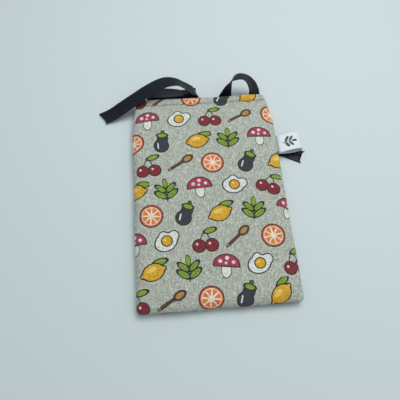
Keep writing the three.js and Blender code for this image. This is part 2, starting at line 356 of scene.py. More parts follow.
class Motif:
    """A motif being painted. A shape is given by the signed distance to its edge."""

    def __init__(self, nodes, place):
        self.nodes = nodes
        self.place = place
        self.colour = OUTLINE
        self.mask = 0.0

    def circle(self, x, y, radius):
        return self.nodes.math("SUBTRACT", self.nodes.vector("DISTANCE", self.place, (x, y, 0)), radius)

    def ellipse(self, x, y, long, short, degrees=0):
        at = self.nodes.vector("SUBTRACT", self.place, (x, y, 0))
        if degrees:
            at = self.nodes.turn(at, -math.radians(degrees))
        share = self.nodes.vector("LENGTH", self.nodes.vector("DIVIDE", at, (long, short, 1)))
        return self.nodes.math("MULTIPLY_ADD", share, short, -short)

    def stroke(self, start, end, radius):
        run = Vector((*end, 0)) - Vector((*start, 0))
        at = self.nodes.vector("SUBTRACT", self.place, (*start, 0))
        dot = self.nodes.vector("DOT_PRODUCT", at, run)
        along = self.nodes.math("DIVIDE", dot, run.length_squared, clamp=True)
        nearest = self.nodes.vector("SCALE", run, scale=along)
        return self.nodes.math("SUBTRACT", self.nodes.vector("DISTANCE", at, nearest), radius)

    def both(self, one, other):
        return self.nodes.math("MINIMUM", one, other)

    def melt(self, one, other):
        return self.nodes.math("SMOOTH_MIN", one, other, MELT)

    def outlined(self, shape, fill, line=LINE):
        """Paints a shape with a dark line round it over what is there."""
        edge = self.nodes.soft(self.nodes.math("SUBTRACT", shape, line))
        lined = self.nodes.mix(edge, self.colour, OUTLINE)
        self.colour = self.nodes.mix(self.nodes.soft(shape), lined, fill)
        self.mask = self.nodes.math("MAXIMUM", self.mask, edge)

    def plain(self, shape, fill):
        """Paints a shape with no line over what is there."""
        inside = self.nodes.soft(shape)
        self.colour = self.nodes.mix(inside, self.colour, fill)
        self.mask = self.nodes.math("MAXIMUM", self.mask, inside)


def orange_slice(motif):
    nodes = motif.nodes
    motif.outlined(motif.circle(0, 0, 8.2), ORANGE)
    motif.plain(motif.circle(0, 0, 7.1), CREAM)
    x, y, _ = nodes.split(motif.place)
    reach = nodes.vector("LENGTH", motif.place)
    spokes = nodes.math("SINE", nodes.math("MULTIPLY", nodes.math("ARCTAN2", y, x), 4.0))
    spoke = nodes.math("MULTIPLY", nodes.math("ABSOLUTE", spokes), nodes.math("MULTIPLY", reach, 0.25))
    flesh = nodes.math("MAXIMUM", nodes.math("SUBTRACT", reach, 6.5), nodes.math("SUBTRACT", 0.5, spoke))
    motif.plain(flesh, PALE_ORANGE)


def mushroom(motif):
    motif.outlined(motif.ellipse(0, -3.2, 3.3, 5.2), WHITE)
    motif.plain(motif.ellipse(1.6, -4.4, 0.8, 2.6), CREAM)
    _, y, _ = motif.nodes.split(motif.place)
    below = motif.nodes.math("SUBTRACT", -0.2, y)
    motif.outlined(motif.nodes.math("MAXIMUM", motif.ellipse(0, 0.2, 9.0, 7.8), below), PINK_RED)
    for x, up, radius in ((-4.6, 3.2, 1.4), (0.2, 5.6, 1.4), (4.9, 2.8, 1.3), (-0.4, 1.9, 1.0)):
        motif.plain(motif.circle(x, up, radius), WHITE)


def lemon(motif):
    motif.outlined(motif.ellipse(4.6, 6.6, 4.4, 1.9, 18), GREEN)
    tips = motif.stroke((-7.6, -4.4), (7.6, 2.4), 0.9)
    motif.outlined(motif.melt(motif.ellipse(0, -1, 7.4, 5.6, 24), tips), YELLOW)
    motif.plain(motif.ellipse(-1.4, 0.6, 3.8, 1.7, 24), PALE_YELLOW)


def cherries(motif):
    motif.colour = BROWN
    left_stem, right_stem = (motif.stroke(end, (1.4, 7.4), 0.5) for end in ((-4.0, -0.6), (4.6, -1.0)))
    motif.plain(motif.both(left_stem, right_stem), BROWN)
    motif.outlined(motif.ellipse(5.2, 6.8, 3.9, 1.7, 10), GREEN)
    motif.outlined(motif.both(motif.circle(-4.4, -3.8, 4.4), motif.circle(4.9, -4.4, 4.4)), DARK_RED)
    motif.plain(motif.both(motif.circle(-5.8, -2.3, 0.9), motif.circle(3.5, -2.9, 0.9)), WHITE)


def twig(motif):
    """The stem, the paired leaves and their veins, of a little branch."""
    x, y, _ = motif.nodes.split(motif.place)
    half = Motif(motif.nodes, motif.nodes.join(motif.nodes.math("ABSOLUTE", x), y))
    leaves = motif.both(half.ellipse(4.2, -3.8, 4.4, 1.9, 36), half.ellipse(3.8, 1.4, 4.0, 1.7, 42))
    leaves = motif.both(leaves, motif.ellipse(0, 5.6, 1.7, 3.4))
    veins = motif.both(half.stroke((0.6, -6.5), (6.8, -2.0), 0.2), half.stroke((0.6, -1.4), (6.0, 3.4), 0.2))
    return motif.stroke((0, -9.2), (0, 5.0), 0.5), leaves, veins


def sprig(motif):
    motif.colour = BROWN
    stem, leaves, veins = twig(motif)
    motif.plain(stem, BROWN)
    motif.outlined(leaves, GREEN)
    motif.plain(veins, DEEP_GREEN)


def aubergine(motif):
    motif.outlined(motif.stroke((3.0, 5.6), (4.2, 8.4), 0.8), DEEP_GREEN)
    motif.outlined(motif.melt(motif.circle(-1.4, -3.6, 5.4), motif.circle(1.8, 2.4, 3.8)), CHARCOAL)
    motif.outlined(motif.ellipse(2.6, 5.2, 3.5, 1.7, -22), GREEN)
    motif.plain(motif.stroke((-4.4, -4.8), (-3.2, -0.6), 0.55), WHITE)


def spoon(motif):
    motif.outlined(motif.stroke((-9.6, -4.0), (2.8, 1.4), 0.9), BROWN, THIN_LINE)
    motif.outlined(motif.ellipse(6.2, 2.9, 4.6, 3.0, 23), BROWN, THIN_LINE)
    motif.plain(motif.ellipse(6.2, 2.9, 3.2, 1.8, 23), GOLD)
    motif.plain(motif.circle(-9.2, -3.8, 0.9), GOLD)


def egg(motif):
    white = motif.melt(motif.ellipse(-1.4, -0.6, 7.8, 6.2, 12), motif.circle(5.2, 2.8, 3.4))
    motif.outlined(motif.melt(white, motif.circle(-2.2, 4.6, 2.8)), WHITE)
    motif.outlined(motif.circle(-0.6, 0.2, 3.5), YELLOW)
    motif.plain(motif.circle(-1.7, 1.3, 0.9), PALE_YELLOW)


MOTIFS = (egg, cherries, spoon, orange_slice, aubergine, lemon, sprig, mushroom)
CELL = (32.5, 26.5)
MOTIF_SIZE = 1.26
JITTER = (5.0, 2.0, 0.0)
TURNING = 0.7
ROW_STEP = 3.0  # how many motifs further on each row starts

# The small pale ticks between the motifs
TICK_PATCH = 0.010
TICK_SIZE = (0.0036, 0.00085, 1)
TICK_CONTRAST = 5.0
TICK_LEVEL = -2.4
INK = 0.96  # how much of the ground the print covers

# Where each panel is cut out of the printed cloth
FRONT_PRINT = (-0.0065, 0.009)
BACK_PRINT = (0.41, 0.1525)

# The sockets of the print's and the weave's groups
PLACE = {"Place": "NodeSocketVector"}
PAINTED = {"Colour": "NodeSocketColor", "Mask": "NodeSocketFloat"}
WOVEN = {"Light": "NodeSocketFloat", "Height": "NodeSocketFloat"}


def motif_group(paint):
    def build(nodes, given):
        motif = Motif(nodes, given["Place"])
        paint(motif)
        return {"Colour": motif.colour, "Mask": motif.mask}

    return group(paint.__name__, PLACE, PAINTED, build)


def scattered_print(nodes, given):
    """One motif to each cell of a staggered grid on the flat cloth, a little moved and turned."""
    across, along, _ = nodes.split(nodes.vector("SCALE", given["Place"], scale=1000.0))
    up = nodes.math("DIVIDE", along, CELL[1])
    row = nodes.math("FLOOR", up)
    odd = nodes.math("FLOORED_MODULO", row, 2.0)
    shifted = nodes.math("MULTIPLY_ADD", odd, 0.5, nodes.math("DIVIDE", across, CELL[0]))
    column = nodes.math("FLOOR", shifted)
    chance = nodes.add("ShaderNodeTexWhiteNoise", noise_dimensions="2D")
    nodes.feed(chance.inputs["Vector"], nodes.join(column, row))
    in_cell = nodes.join(nodes.math("FRACT", shifted), nodes.math("FRACT", up))
    at = nodes.vector("MULTIPLY", nodes.vector("SUBTRACT", in_cell, (0.5, 0.5, 0)), (*CELL, 0))
    swing = nodes.vector("SUBTRACT", chance.outputs["Color"], (0.5, 0.5, 0.5))
    moved = nodes.vector("MULTIPLY", swing, JITTER)
    at = nodes.vector("SCALE", nodes.vector("SUBTRACT", at, moved), scale=1 / MOTIF_SIZE)
    at = nodes.turn(at, nodes.math("MULTIPLY_ADD", chance.outputs["Value"], TURNING, -TURNING / 2))
    kind = nodes.math("FLOORED_MODULO", nodes.math("MULTIPLY_ADD", row, ROW_STEP, column), float(len(MOTIFS)))
    made, mask = LINEN, 0.0
    for number, paint in enumerate(MOTIFS):
        motif = nodes.use(motif_group(paint), Place=at)
        chosen = nodes.math("COMPARE", kind, float(number), 0.5)
        shown = nodes.math("MULTIPLY", chosen, motif["Mask"])
        made = nodes.mix(shown, made, motif["Colour"])
        mask = nodes.math("MAXIMUM", mask, shown)
    return {"Colour": made, "Mask": mask}


def ticks(nodes, place):
    """Short pale strokes that lie one way in each small patch of the cloth and another way in the next."""
    patches = nodes.add("ShaderNodeTexVoronoi", voronoi_dimensions="2D")
    nodes.feed(patches.inputs["Vector"], place)
    patches.inputs["Scale"].default_value = 1 / TICK_PATCH
    chance, _, _ = nodes.split(patches.outputs["Color"])
    turned = nodes.turn(place, nodes.math("MULTIPLY", chance, math.pi))
    strokes = nodes.noise(nodes.vector("DIVIDE", turned, TICK_SIZE), 1.0, 0.0)
    return nodes.math("MULTIPLY_ADD", strokes, TICK_CONTRAST, TICK_LEVEL, clamp=True)


def linen_weave(nodes, given):
    """The threads of a plain weave: how light each place is, and how high it stands."""
    across, along, _ = nodes.split(given["Place"])
    warp = nodes.math("SINE", nodes.math("MULTIPLY", across, 2 * math.pi / WEAVE_PITCH))
    weft = nodes.math("SINE", nodes.math("MULTIPLY", along, 2 * math.pi / WEAVE_PITCH))
    slub_across = nodes.noise(nodes.vector("MULTIPLY", given["Place"], SLUBS_ACROSS), 1.0)
    slub_along = nodes.noise(nodes.vector("MULTIPLY", given["Place"], SLUBS_ALONG), 1.0)
    slubs = nodes.math("ADD", slub_across, slub_along)
    flecks = nodes.noise(given["Place"], FLECKS, 1.0)
    light = nodes.math("MULTIPLY_ADD", nodes.noise(given["Place"], CLOUDS), CLOUD_DEPTH, 1 - CLOUD_DEPTH / 2)
    light = nodes.math("MULTIPLY_ADD", nodes.math("SUBTRACT", slubs, 1.0), SLUB_DEPTH, light)
    light = nodes.math("MULTIPLY_ADD", nodes.math("SUBTRACT", flecks, 0.5), FLECK_DEPTH, light)
    height = nodes.math("MULTIPLY_ADD", nodes.math("MAXIMUM", warp, weft), 0.5, slubs)
    return {"Light": light, "Height": height}


def weave_group():
    return group("linen_weave", PLACE, WOVEN, linen_weave)


# Materials

def material(name, roughness):
    made = bpy.data.materials.new(name)
    made.use_nodes = True
    shader = made.node_tree.nodes["Principled BSDF"]
    shader.inputs["Roughness"].default_value = roughness
    return made, Nodes(made.node_tree), shader


def flat_place(nodes):
    """Where a point lies on the piece's flat pattern, in metres."""
    return nodes.add("ShaderNodeUVMap", uv_map="flat").outputs[0]


def bump(nodes, shader, height, strength, distance):
    node = nodes.add("ShaderNodeBump")
    node.inputs["Strength"].default_value = strength
    node.inputs["Distance"].default_value = distance
    nodes.feed(node.inputs["Height"], height)
    nodes.feed(shader.inputs["Normal"], node.outputs[0])


def shaded(nodes, tint, light):
    """A colour, lighter and darker from thread to thread."""
    return nodes.vector("MULTIPLY", tint, nodes.join(light, light, light))


def printed_cotton(weave):
    made, nodes, shader = material("printed_cotton", roughness=0.92)
    place = flat_place(nodes)
    pattern = nodes.use(group("scattered_print", PLACE, PAINTED, scattered_print), Place=place)
    cloth = nodes.use(weave, Place=place)
    spread = nodes.noise(place, TONES)
    tone = nodes.math("MULTIPLY_ADD", spread, TONE_CONTRAST, (1 - TONE_CONTRAST) / 2, clamp=True)
    ground = nodes.mix(ticks(nodes, place), nodes.mix(tone, WARM_LINEN, COOL_LINEN), TICK)
    printed = nodes.mix(nodes.math("MULTIPLY", pattern["Mask"], INK), ground, pattern["Colour"])
    nodes.feed(shader.inputs["Base Color"], shaded(nodes, printed, cloth["Light"]))
    shader.inputs["Sheen Weight"].default_value = 0.15
    shader.inputs["Sheen Roughness"].default_value = 0.5
    shader.inputs["Specular IOR Level"].default_value = 0.25
    bump(nodes, shader, cloth["Height"], strength=0.35, distance=0.00025)
    return made


def dyed_cotton(name, tint, weave):
    made, nodes, shader = material(name, roughness=0.9)
    cloth = nodes.use(weave, Place=flat_place(nodes))
    nodes.feed(shader.inputs["Base Color"], shaded(nodes, tint[:3], cloth["Light"]))
    shader.inputs["Specular IOR Level"].default_value = 0.25
    bump(nodes, shader, cloth["Height"], strength=0.3, distance=0.0002)
    return made


def satin(name, tint, pale, roughness, specular, rib):
    """A smooth ribbon weave: fine ribs across it, and long faint paler bands along it, which are painted
    sheen and also raise the bump.
    """
    made, nodes, shader = material(name, roughness)
    place = flat_place(nodes)
    # Painted sheen: long paler bands mixed into the satin's colour; the same noise also gives the bump
    sheen_streaks = nodes.noise(nodes.vector("MULTIPLY", place, SATIN_SHEEN_STREAKS), 1.0)
    sheen_streaked = nodes.mix(sheen_streaks, tint, pale)
    nodes.feed(shader.inputs["Base Color"], sheen_streaked)
    _, along, _ = nodes.split(place)
    ribs = nodes.math("SINE", nodes.math("MULTIPLY", along, 2 * math.pi / rib))
    shader.inputs["Specular IOR Level"].default_value = specular
    bump(nodes, shader, nodes.math("MULTIPLY_ADD", ribs, 0.5, sheen_streaks), strength=0.2, distance=0.00012)
    return made, nodes, shader, place, sheen_streaked


def black_satin():
    # The paler colour is painted sheen, laid in bands along the black ribbon
    tint, pale = colour(14, 19, 26), colour(22, 29, 38)
    return satin("black_satin", tint, pale, roughness=0.46, specular=0.22, rib=0.0006)[0]


def label_satin(middle):
    """White satin with one small dark twig on its upper half, its stem running out from the seam."""
    # The paler colour is painted sheen, laid in bands along the white label tape
    tint, pale = colour(200, 212, 217), colour(222, 230, 233)
    made, nodes, shader, place, sheen_streaked = satin("white_satin", tint, pale,
                                              roughness=0.42, specular=0.5, rib=0.0005)
    across, along, _ = nodes.split(nodes.vector("SCALE", place, scale=1000.0 / TWIG_SIZE))
    at = nodes.join(across, nodes.math("SUBTRACT", middle * 1000.0 / TWIG_SIZE, along))
    motif = Motif(nodes, at)
    stem, leaves, _ = twig(motif)
    printed = nodes.soft(motif.both(stem, leaves))
    nodes.feed(shader.inputs["Base Color"], nodes.mix(printed, sheen_streaked, OUTLINE))
    return made


def wadding():
    made, nodes, shader = material("wadding", roughness=1.0)
    fibres = nodes.noise(nodes.vector("MULTIPLY", flat_place(nodes), FIBRES), 1.0, 4.0)
    nodes.feed(shader.inputs["Base Color"], nodes.mix(fibres, colour(232, 228, 214), colour(250, 248, 240)))
    bump(nodes, shader, fibres, strength=0.6, distance=0.0005)
    return made


def thread():
    made, nodes, shader = material("thread", roughness=0.7)
    place = nodes.add("ShaderNodeTexCoord").outputs["Object"]
    twist = nodes.noise(nodes.vector("MULTIPLY", place, THREAD_TWIST), 1.0)
    # The thread's own grey, darkened further as painted shade of the stitch groove it lies in
    nodes.feed(shader.inputs["Base Color"], nodes.mix(twist, colour(92, 92, 84), colour(120, 119, 110)))
    return made


# Cloth: the flat pattern wrapped round the padded edges

def smooth(value, low, reach):
    """0 up to low, 1 from a reach above it, and an easy curve between."""
    share = min(max((value - low) / reach, 0), 1)
    return share * share * (3 - 2 * share)


def lift_at(x, y):
    """How far the tie's tail under the sleeve lifts it there."""
    return LIFT * smooth(x, LIFT_FROM[0], LIFT_REACH) * smooth(y, LIFT_FROM[1], LIFT_REACH)


def ripple(across, along, waves):
    """A value from -1 to 1 that rises and falls across and along the cloth."""
    return noise.noise(Vector((across * waves[0], along * waves[1], waves[2])))


def pucker_at(across, along):
    """How far the cloth is drawn in beside the stitch line and the seams, alike on both panels."""
    from_stitch = abs(along - STITCH_Y)
    from_side = max(FLAT_X + ARC - abs(across), 0)
    from_foot = max(along + FLAT_Y + ARC, 0)
    at_stitch = math.exp(-from_stitch / STITCH_PUCKER_REACH) * ripple(across, along, STITCH_PUCKER_WAVES)
    at_side = math.exp(-from_side / SEAM_PUCKER_REACH) * ripple(across, along, SIDE_PUCKER_WAVES)
    at_foot = math.exp(-from_foot / SEAM_PUCKER_REACH) * ripple(across, along, FOOT_PUCKER_WAVES)
    return PUCKER * (at_stitch + SEAM_PUCKER_SHARE * at_side + SEAM_PUCKER_SHARE * at_foot)


def hill_at(x, y):
    """The slow rise and fall of the front, none of it at the sides and the foot."""
    from_side = min(max((FLAT_X - abs(x)) / HILL_FADE, 0), 1)
    from_foot = min(max((y + FLAT_Y) / HILL_FADE, 0), 1)
    return HILL * (from_side * from_foot) * ripple(x, y, HILL_WAVES)


def edge_at(x, y):
    """How far the side edge is in or out of line there. The right edge is true where the label is."""
    side = LEFT_WAVE if x < 0 else RIGHT_WAVE
    held = 1 if x < 0 else min(abs(y - LABEL_Y) / EDGE_TRUE, 1)
    return EDGE_WAVE * held * ripple(side, y, EDGE_WAVES)


def over(beyond):
    """The angle that the cloth has turned through at this distance past the flat face."""
    return min(max(beyond / ARC, 0), 1) * math.pi / 2


def wrap(across, along, depth, is_front):
    """A point of the flat pattern, at a depth under the outer face, in its place on the sleeve."""
    side_turn, foot_turn = over(abs(across) - FLAT_X), over(-along - FLAT_Y)
    over_side, over_foot = math.sin(side_turn), math.sin(foot_turn)
    press = STITCH_DIP * math.exp(-(((along - STITCH_Y) / STITCH_DIP_REACH) ** 2))
    sunk = press + depth * (1 - press / PANEL)
    seam = max(side_turn, foot_turn) - math.pi / 2
    sunk += SEAM_DIP * math.exp(-((seam / SEAM_DIP_ANGLE) ** 2)) * (1 - depth / PANEL)
    sunk += pucker_at(across, along) * (1 - depth / PANEL)
    sideways = (EDGE_ROUND - sunk) * over_side * math.sqrt(1 - CORNER_ROUND * over_foot**2 / 2)
    footwards = (EDGE_ROUND - sunk) * over_foot * math.sqrt(1 - CORNER_ROUND * over_side**2 / 2)
    y = max(along, -FLAT_Y) - footwards
    drawn = 1 - 2 * DRAW_IN / WIDTH * min(max((y - MOUTH + DRAW_LENGTH) / DRAW_LENGTH, 0), 1) ** 2
    x = math.copysign(drawn * (min(abs(across), FLAT_X) + sideways), across)
    x += math.copysign(edge_at(x, y) * abs(x) / (WIDTH / 2), x)
    rise = (SEAM_Z - sunk) * math.cos(side_turn) * math.cos(foot_turn)
    if is_front:
        return Vector((x, y, SEAM_Z + rise + lift_at(x, y) + hill_at(x, y)))
    return Vector((x, y, SEAM_Z - rise + lift_at(x, y)))


def spaced(first, last, step):
    """Even places from first to last, no further apart than a step."""
    count = max(1, math.ceil((last - first) / step))
    return [first + (last - first) * i / count for i in range(count + 1)]


def across_stations(step):
    left = [-FLAT_X - beyond for beyond in reversed(ROUND_STATIONS)]
    right = [FLAT_X + beyond for beyond in ROUND_STATIONS]
    return left + spaced(-FLAT_X, FLAT_X, step) + right


def along_stations(step):
    before = STITCH_Y - STITCH_ROOM * STITCH_DIP_REACH
    return (
        [-FLAT_Y - beyond for beyond in reversed(ROUND_STATIONS)]
        + spaced(-FLAT_Y, before, step)
        + [STITCH_Y + k * STITCH_DIP_REACH for k in STITCH_STATIONS]
        + spaced(STITCH_Y + STITCH_ROOM * STITCH_DIP_REACH, MOUTH - TURN, HEM_STEP)
    )


def cloth_rows(from_outside, step):
    """Rows of along, depth and distance over the cloth, from the foot round the lip to the mouth seam."""
    middle = PANEL / 2
    rows = [(along, 0.0, along) for along in along_stations(step)]
    for i in range(LIP_STEPS):
        angle = math.pi / 2 * (i + 1) / LIP_STEPS
        depth = middle * (1 - math.cos(angle))
        rows.append((MOUTH - TURN + TURN * math.sin(angle), depth, MOUTH - TURN + TURN * angle))
    rows.append((MOUTH - MOUTH_SEAM, middle, MOUTH + TURN))
    return rows if from_outside else [(along, PANEL - depth, run) for along, depth, run in rows]


def grid_faces(rows, columns, start=0, flip=False):
    faces = []
    for i in range(rows - 1):
        for j in range(columns - 1):
            a = start + i * columns + j
            quad = (a, a + 1, a + columns + 1, a + columns)
            faces.append(quad[::-1] if flip else quad)
    return faces


def mesh_object(name, points, faces, flat=None, edges=()):
    """An object at the origin, with its flat pattern as the UV map where one is given."""
    mesh = bpy.data.meshes.new(name)
    mesh.from_pydata(points, edges, faces)
    if flat:
        layer = mesh.uv_layers.new(name="flat")
        for loop in mesh.loops:
            layer.data[loop.index].uv = flat[loop.vertex_index]
    mesh.polygons.foreach_set("use_smooth", [True] * len(mesh.polygons))
    made = bpy.data.objects.new(name, mesh)
    bpy.context.scene.collection.objects.link(made)
    return made


def bag(name, from_outside, step):
    """Both panels of one cloth, joined along the side and foot seams."""
    rows, columns = cloth_rows(from_outside, step), across_stations(step)
    points, flat, faces, held = [], [], [], []
    for is_front, shift, side in ((True, FRONT_PRINT, 1), (False, BACK_PRINT, -1)):
        start = len(points)
        for along, depth, run in rows:
            for across in columns:
                points.append(wrap(across, along, depth, is_front))
                flat.append((shift[0] + side * across, shift[1] + run))
                held.append(hold_at(across, along, depth, is_front))
        faces += grid_faces(len(rows), len(columns), start, flip=is_front != from_outside)
    made = mesh_object(name, points, faces, flat)
    pins = made.vertex_groups.new(name="held")
    for i, weight in enumerate(held):
        pins.add([i], weight, "REPLACE")
    weld(made, CORNER_WELD if from_outside else SEAM_WELD)
    if from_outside:
        swell(made)
    made.vertex_groups.clear()
    reshape(made, sharpen_seams)
    subdivide(made, 1)
    return made


def hold_at(across, along, depth, is_front):
    """How firmly the stitches, the seams and the table hold the cloth there, 0 to 1."""
    turned = max(over(abs(across) - FLAT_X), over(-along - FLAT_Y)) / (math.pi / 2)
    seam = smooth(turned, *SEAM_HOLD)
    stitch = math.exp(-(((along - STITCH_Y) / (STITCH_HOLD * STITCH_DIP_REACH)) ** 2))
    lip = smooth(along, STITCH_Y, MOUTH - TURN - STITCH_Y)
    table = 0 if is_front else 1 - smooth(turned, *TABLE_HOLD)
    return max(seam, stitch, lip, table, min(depth / PANEL * TURNED_IN_HOLD, 1))


def swell(piece):
    """Lets the wadding push the cloth out between the places where it is held, by no more than a little."""
    start = [(v.co.copy(), v.normal.copy()) for v in piece.data.vertices]
    modifier = piece.modifiers.new("swell", "CLOTH")
    cloth = modifier.settings
    cloth.quality = 6
    cloth.mass = 0.25
    cloth.air_damping = 3
    cloth.tension_stiffness = 10
    cloth.compression_stiffness = 6
    cloth.shear_stiffness = 4
    cloth.bending_stiffness = 0.6
    cloth.vertex_group_mass = "held"
    cloth.shrink_min = SLACK
    cloth.use_pressure = True
    cloth.uniform_pressure_force = PRESSURE
    cloth.effector_weights.gravity = 0
    modifier.collision_settings.use_collision = False
    scene = bpy.context.scene
    for frame_number in range(1, SWELL_FRAMES + 1):
        scene.frame_set(frame_number)
    settle(piece)
    scene.frame_set(1)
    for vertex, (was, outward) in zip(piece.data.vertices, start):
        shift = vertex.co - was
        shift -= outward * min(shift.dot(outward) + SINK_LIMIT, 0)
        shift.length = SWELL_LIMIT * math.tanh(shift.length / SWELL_LIMIT)
        vertex.co = was + shift
        vertex.co.z = max(vertex.co.z, min(was.z, TABLE_CLEAR))


def reshape(piece, act):
    """Lets act change the piece's mesh, and keeps the result."""
    shape = bmesh.new()
    shape.from_mesh(piece.data)
    act(shape)
    shape.to_mesh(piece.data)
    shape.free()


def weld(piece, reach):
    reshape(piece, lambda shape: bmesh.ops.remove_doubles(shape, verts=shape.verts, dist=reach))


def sharpen_seams(shape):
    """Keeps the fold sharp where two panels meet, which is where the flat pattern breaks off."""
    flat = shape.loops.layers.uv["flat"]
    crease = shape.edges.layers.float.new("crease_edge")
    for edge in shape.edges:
        if len(edge.link_loops) == 2:
            here, there = edge.link_loops
            gap = here[flat].uv - there.link_loop_next[flat].uv
            edge[crease] = 1.0 if gap.length > SEAM_GAP else 0.0


def subdivide(piece, levels):
    """Divides the piece and keeps the result as its plain mesh."""
    modifier = piece.modifiers.new("divide", "SUBSURF")
    modifier.levels = levels
    modifier.render_levels = levels
    settle(piece)


def thicken(piece, thickness):
    """Gives a cloth its thickness, away from the side that it faces."""
    modifier = piece.modifiers.new("thickness", "SOLIDIFY")
    modifier.thickness = thickness
    modifier.offset = -1
    settle(piece)


def settle(piece):
    """Puts the shape that the modifiers make into the mesh, and removes them."""
    graph = bpy.context.evaluated_depsgraph_get()
    evaluated = piece.evaluated_get(graph)
    mesh = bpy.data.meshes.new_from_object(evaluated, preserve_all_data_layers=True, depsgraph=graph)
    piece.modifiers.clear()
    piece.data = mesh


def thick_sheet(name, outer, inner, flat, inner_flat):
    """A closed solid between two grids of points of the same size, each with its flat pattern."""
    rows, columns = len(outer), len(outer[0])
    points = [p for row in outer for p in row] + [p for row in inner for p in row]
    under = rows * columns
    faces = grid_faces(rows, columns) + grid_faces(rows, columns, under, flip=True)
    rim = list(range(columns))
    rim += [i * columns + columns - 1 for i in range(1, rows)]
    rim += [(rows - 1) * columns + j for j in range(columns - 2, -1, -1)]
    rim += [i * columns for i in range(rows - 2, 0, -1)]
    for here, after in zip(rim, rim[1:] + rim[:1]):
        faces.append((after, here, here + under, after + under))
    made = mesh_object(name, points, faces, flat + inner_flat)
    reshape(made, lambda shape: bmesh.ops.recalc_face_normals(shape, faces=shape.faces))
    return made


def wadding_panel(name, is_front):
    """The wadding of one panel, between the cloths."""
    rows = [along for along in along_stations(WADDING_STEP) if along < MOUTH - TURN]
    columns = across_stations(WADDING_STEP)
    inset = [across * WADDING_SHARE for across in columns]

    def layer(depth):
        return [[wrap(across, along, depth, is_front) for across in inset] for along in rows]

    flat = [(across, along) for along in rows for across in columns]
    near, far = WADDING_DEPTHS
    return thick_sheet(name, layer(near), layer(far), flat, flat)


# The ties

def through(points):
    """A smooth line through the points."""
    ends = [2 * points[0] - points[1], *points, 2 * points[-1] - points[-2]]
    line = []
    for i in range(1, len(ends) - 2):
        a, b, c, d = ends[i - 1:i + 3]
        for k in range(ROUTE_STEPS):
            t = k / ROUTE_STEPS
            line.append(0.5 * (2 * b + (c - a) * t + (2 * a - 5 * b + 4 * c - d) * t**2
                               + (3 * b - a - 3 * c + d) * t**3))
    return line + [points[-1]]


def evened(directions):
    """Each direction added to those near it, so that the ribbon turns without a jerk."""
    last = len(directions) - 1
    nearby = range(-EVEN_REACH, EVEN_REACH + 1)
    return [sum((directions[min(max(i + k, 0), last)] for k in nearby), Vector()) for i in range(last + 1)]


def ribbon(name, route, ahead):
    """A flat ribbon along a route. ahead gives how far its cut end runs on, by place across it."""
    middle = through([Vector(p) for p, _ in route])
    across = evened(through([Vector(d) for _, d in route]))
    columns = [-1 + 2 * k / RIBBON_STEPS for k in range(RIBBON_STEPS + 1)]
    sides, flat, run = {1: [], -1: []}, [], 0.0
    for i, at in enumerate(middle):
        before, after = middle[max(i - 1, 0)], middle[min(i + 1, len(middle) - 1)]
        along = (after - before).normalized()
        right = (across[i] - across[i].dot(along) * along).normalized()
        face = right.cross(along)
        run += (at - before).length
        for side, rows in sides.items():
            row = []
            for c in columns:
                cup = RIBBON_CUP * (c * c - RIBBON_CUP_LEVEL)
                edge = RIBBON_THICK / 2 * (SELVEDGE if abs(c) > SELVEDGE_FROM else 1.0)
                further = ahead(c) if i == len(middle) - 1 else 0
                row.append(at + right * c * RIBBON_WIDTH / 2 + face * (cup + side * edge) + along * further)
            rows.append(row)
        flat += [(c * RIBBON_WIDTH / 2, run) for c in columns]
    made = thick_sheet(name, sides[1], sides[-1], flat, flat)
    return made


# The label

def label_path():
    """The tape seen along the seam, from one end in the seam round the fold to the other."""
    shares = [1 - (1 - k / LABEL_STEPS) ** 2 for k in range(LABEL_STEPS + 1)]
    fullest = 2 / 3 * math.sqrt(1 / 3)  # the greatest value of s * sqrt(1 - s)
    lower = [Vector((s * LABEL_LENGTH, -(LABEL_ROOT + LABEL_PUFF / fullest * s) * math.sqrt(1 - s)))
             for s in shares]
    return lower + [Vector((p.x, -p.y)) for p in reversed(lower[:-1])]


def label(name):
    """The folded tape in its place, and its length."""
    path = label_path()
    columns = spaced(-LABEL_WIDTH / 2, LABEL_WIDTH / 2, LABEL_STEP)
    sides, flat, run = {1: [], -1: []}, [], 0.0
    for i, at in enumerate(path):
        before, after = path[max(i - 1, 0)], path[min(i + 1, len(path) - 1)]
        along = (after - before).normalized()
        run += (at - before).length
        for side, rows in sides.items():
            offset = at + Vector((along.y, -along.x)) * side * LABEL_TAPE / 2
            aside = LABEL_SKEW * offset.x / LABEL_LENGTH
            rows.append([Vector((offset.x, c + aside, offset.y)) + Vector(LABEL_AT) for c in columns])
        flat += [(c, run) for c in columns]
    inner_flat = [(across, -far) for across, far in flat]
    made = thick_sheet(name, sides[1], sides[-1], flat, inner_flat)
    return made, run


# Stitches

